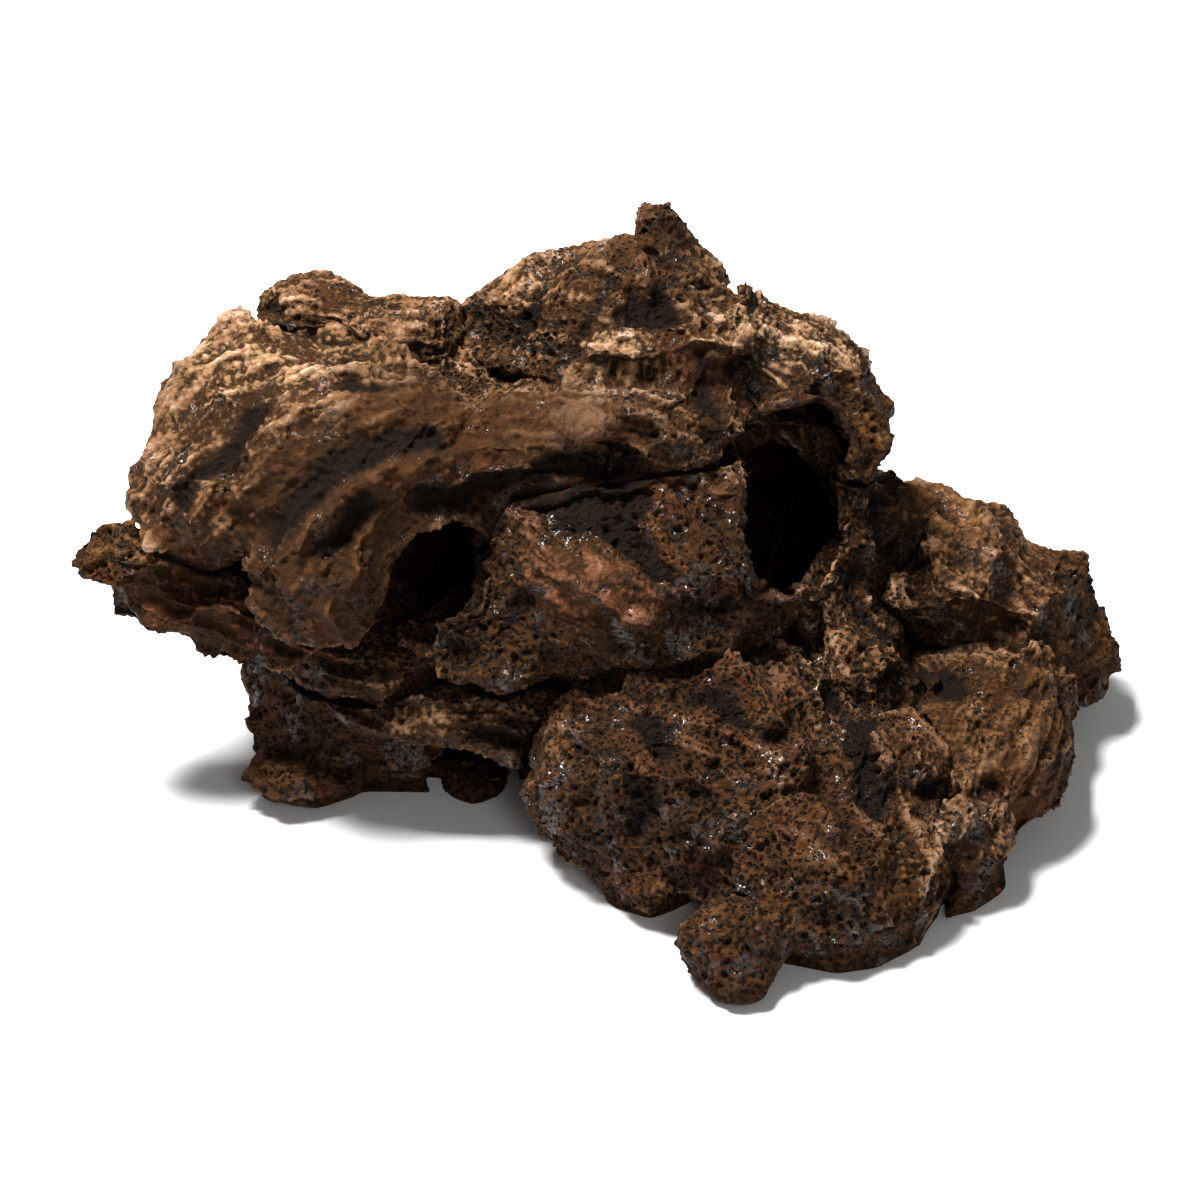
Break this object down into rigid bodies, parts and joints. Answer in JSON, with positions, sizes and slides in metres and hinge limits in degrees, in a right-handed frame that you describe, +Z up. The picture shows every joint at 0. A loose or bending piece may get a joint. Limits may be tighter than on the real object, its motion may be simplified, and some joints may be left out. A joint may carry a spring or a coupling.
{
  "type": "resin cave ornament",
  "caption": "Hollow lava-rock cave of bonded resin castings for fish to hide in, with a doorway, a cleft and a foot arch into one chamber.",
  "frame": {"origin": "centre of the footprint's bounding box, on the surface that the ornament stands on", "axes": "+X to the viewer's right along the longest side, -Y to the front with the doorways, +Z up"},
  "size_m": [0.2682, 0.189, 0.1446],
  "materials": {
    "lava_ochre": "cast resin, dry-brushed tan over brown, clear coated",
    "lava_umber": "cast resin, dark brown, clear coated",
    "lava_rust": "cast resin, reddish brown and porous, clear coated",
    "cave_black": "cast resin, painted near black"
  },
  "bodies": {
    "root": {"horn": "lava_ochre", "crest_knob": "lava_ochre", "left_boulder": "lava_ochre", "strata_shelf": "lava_ochre", "peak_boulder": "lava_ochre", "roof_boulder": "lava_umber", "right_column": "lava_ochre", "right_boulder": "lava_umber", "front_toe": "lava_umber", "front_apron": "lava_rust", "right_skirt": "lava_umber", "under_ledge": "lava_umber", "centre_body": "lava_rust", "left_leg": "lava_umber", "back_left": "lava_umber", "back_right": "lava_umber", "cave_floor": "cave_black"}
  },
  "joints": []
}
